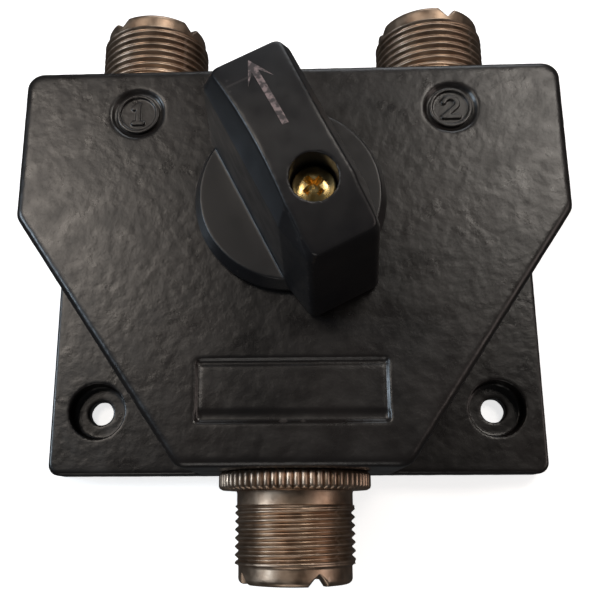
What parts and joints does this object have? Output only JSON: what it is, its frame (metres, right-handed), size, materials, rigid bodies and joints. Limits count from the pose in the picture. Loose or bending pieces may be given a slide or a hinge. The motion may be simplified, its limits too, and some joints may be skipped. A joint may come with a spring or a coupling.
{
  "type": "two-way coaxial antenna switch",
  "caption": "Manual coaxial switch in a shield-shaped die-cast box, with a bar knob that joins the common socket to either output socket.",
  "frame": {"origin": "on the rear mounting face, where the knob's axis meets it", "axes": "+Z out of the front along the knob's axis, +Y towards the two output sockets, +X to the right seen from the front"},
  "size_m": [0.0728, 0.0802, 0.0455],
  "materials": {
    "black_paint": "satin black enamel with a fine orange-peel texture",
    "sheet_steel": "plated sheet",
    "steel": "zinc-plated",
    "nickel_plate": "tarnished nickel plate",
    "insulator": "white fluoropolymer",
    "silver_plate": "silver plate",
    "phenolic": "phenolic laminate",
    "brass": "bright",
    "knob_plastic": "satin moulded"
  },
  "bodies": {
    "housing": {"body_casting": "black_paint", "back_cover": "sheet_steel", "cover_screw_1": "steel", "cover_screw_2": "steel", "cover_screw_3": "steel", "cover_screw_4": "steel", "socket_shell_output_1": "nickel_plate", "socket_shell_output_2": "nickel_plate", "socket_shell_common": "nickel_plate", "insulator_output_1": "insulator", "insulator_output_2": "insulator", "insulator_common": "insulator", "center_contact_output_1": "silver_plate", "center_contact_output_2": "silver_plate", "center_contact_common": "silver_plate", "fork_contact_output_1": "silver_plate", "fork_contact_output_2": "silver_plate", "fork_contact_common": "silver_plate", "shaft_bush": "brass", "wave_washer": "steel", "detent_ball": "steel", "detent_spring": "steel"},
    "rotor": {"rotor_hub": "phenolic", "contact_blade": "silver_plate", "rotor_spacer": "phenolic", "ground_plate": "silver_plate", "rotor_washer": "steel", "rotor_screw": "steel", "shaft": "brass", "detent_plate": "steel", "retaining_ring": "steel", "knob": "knob_plastic", "driver_plate": "steel", "knob_screw": "brass"}
  },
  "joints": [
    {"name": "knob_turn", "type": "hinge", "parent": "housing", "child": "rotor", "pos_m": [0, 0, 0], "axis": [0, 0, 1], "range_deg": [-60, 0]}
  ]
}
